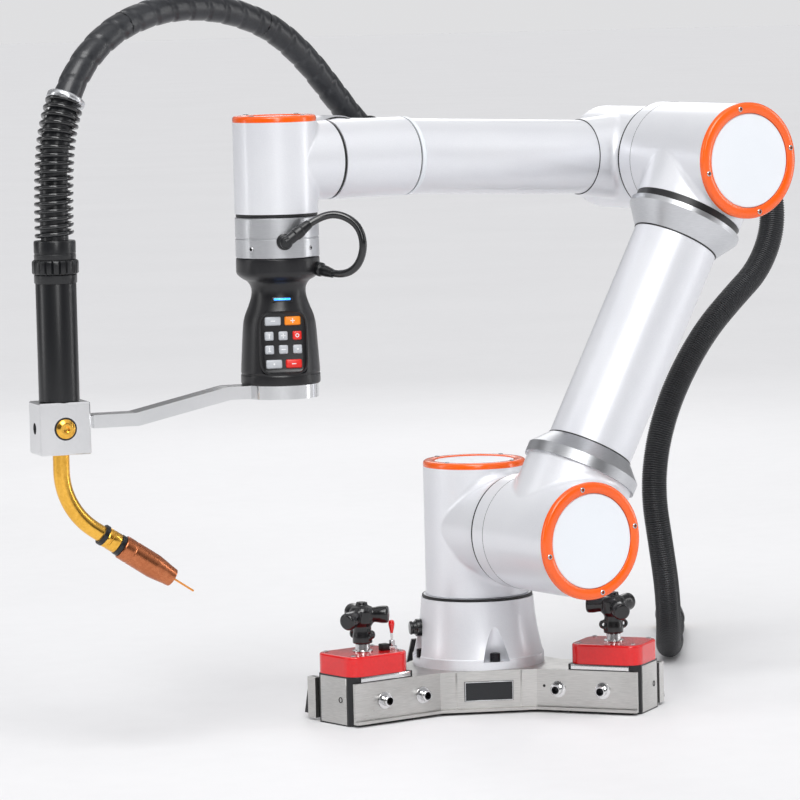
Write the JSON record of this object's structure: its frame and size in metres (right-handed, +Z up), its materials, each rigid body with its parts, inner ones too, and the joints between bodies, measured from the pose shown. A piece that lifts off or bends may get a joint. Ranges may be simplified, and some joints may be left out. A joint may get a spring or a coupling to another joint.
{
  "type": "industrial robot arm, six-axis welding cobot on a three-magnet stand",
  "caption": "White six-axis welding robot arm with orange cap rings, keypad handle, torch and hose, on a folded steel stand with three switchable magnets.",
  "frame": {"origin": "on the first joint's vertical axis, on the plane the three magnets stand on", "axes": "+Z up; the forearm points to -X; the shoulder and elbow caps face -Y"},
  "size_m": [1.0304, 0.5358, 0.7347],
  "materials": {
    "white_paint": "satin",
    "cap_white": "satin",
    "orange_ring": "gloss",
    "silver_flange": "satin",
    "dark_band": "satin",
    "stainless": "satin",
    "bright_steel": "polished",
    "black_steel": "satin",
    "black_screws": "satin",
    "red_cover": "gloss",
    "black_knob": "satin",
    "plate_dark": "satin",
    "handle_black": "satin",
    "key_grey": "satin",
    "light_blue": "gloss",
    "bracket_metal": "satin",
    "brass": "polished",
    "copper": "satin",
    "torch_black": "satin",
    "hose_rubber": "satin",
    "spring_black": "satin"
  },
  "bodies": {
    "base": {"stand_top_plate": "stainless", "stand_skirts": "stainless", "stand_gussets": "black_steel", "magnet_blocks": "black_steel", "magnet_covers": "red_cover", "magnet_stems": "bright_steel", "name_plate": "plate_dark", "pedestal": "white_paint", "pedestal_screws": "black_screws", "pedestal_connector": "black_knob", "toggle_switch": "red_cover", "hose_foot": "hose_rubber", "hose_plug": "torch_black"},
    "knob_left": {"magnet_knob_left": "black_knob"},
    "knob_right": {"magnet_knob_right": "black_knob"},
    "knob_rear": {"magnet_knob_rear": "black_knob"},
    "turret": {"turret_casting": "white_paint", "turret_cap_ring": "orange_ring", "turret_cap": "cap_white", "hose_drop": "hose_rubber"},
    "upper_arm": {"shoulder_casting": "white_paint", "upper_arm_tube": "white_paint", "arm_flanges": "silver_flange", "elbow_band": "dark_band", "elbow_casting": "white_paint", "arm_cap_rings": "orange_ring", "arm_caps": "cap_white", "hose_elbow": "hose_rubber"},
    "forearm": {"forearm_elbow": "white_paint", "forearm_tube": "white_paint", "forearm_housing": "white_paint", "forearm_cap_rings": "orange_ring", "forearm_caps": "cap_white", "hose_clips": "torch_black", "hose_forearm": "hose_rubber"},
    "wrist_1": {"wrist_1_casting": "white_paint", "wrist_1_cap": "cap_white", "hose_wrist": "hose_rubber"},
    "wrist_2": {"wrist_2_casting": "white_paint", "wrist_2_cap_ring": "orange_ring", "wrist_2_cap": "cap_white", "hose_arch": "hose_rubber"},
    "tool": {"tool_flange": "silver_flange", "handle_body": "handle_black", "keypad_keys": "key_grey", "handle_light": "light_blue", "torch_bracket": "bracket_metal", "clamp_block": "bracket_metal", "clamp_bolt": "brass", "torch_body": "torch_black", "torch_collars": "torch_black", "torch_neck": "brass", "torch_spring": "spring_black", "gas_nozzle": "copper", "welding_wire": "copper", "handle_cable": "hose_rubber", "cable_plugs": "torch_black", "hose_torch": "hose_rubber"}
  },
  "joints": [
    {"name": "base_turn", "type": "hinge", "parent": "base", "child": "turret", "pos_m": [0, 0, 0.116], "axis": [0, 0, 1], "range_deg": [-175, 175], "deforming": ["hose_foot"]},
    {"name": "shoulder_swing", "type": "hinge", "parent": "turret", "child": "upper_arm", "pos_m": [0, 0, 0.186], "axis": [0, 1, 0], "range_deg": [-20, 50], "deforming": ["hose_drop"]},
    {"name": "elbow_swing", "type": "hinge", "parent": "upper_arm", "child": "forearm", "pos_m": [0.20362, 0, 0.55334], "axis": [0, 1, 0], "range_deg": [-15, 100], "deforming": ["hose_elbow"]},
    {"name": "wrist_1_swing", "type": "hinge", "parent": "forearm", "child": "wrist_1", "pos_m": [-0.191, 0, 0.57057], "axis": [0, 1, 0], "range_deg": [-40, 90], "deforming": ["hose_wrist"]},
    {"name": "wrist_2_turn", "type": "hinge", "parent": "wrist_1", "child": "wrist_2", "pos_m": [-0.191, -0.102, 0.57057], "axis": [-1, 0, 0], "range_deg": [-90, 90], "deforming": ["hose_arch"]},
    {"name": "tool_turn", "type": "hinge", "parent": "wrist_2", "child": "tool", "pos_m": [-0.293, -0.102, 0.51857], "axis": [0, 0, 1], "range_deg": [-100, 100], "deforming": ["hose_torch", "torch_spring"]},
    {"name": "knob_left_turn", "type": "hinge", "parent": "base", "child": "knob_left", "pos_m": [-0.14764, -0.01032, 0.08], "axis": [0, 0, 1], "range_deg": [0, 90]},
    {"name": "knob_right_turn", "type": "hinge", "parent": "base", "child": "knob_right", "pos_m": [0.08276, -0.1227, 0.08], "axis": [0, 0, 1], "range_deg": [0, 90]},
    {"name": "knob_rear_turn", "type": "hinge", "parent": "base", "child": "knob_rear", "pos_m": [0.06488, 0.13302, 0.08], "axis": [0, 0, 1], "range_deg": [0, 90]}
  ]
}
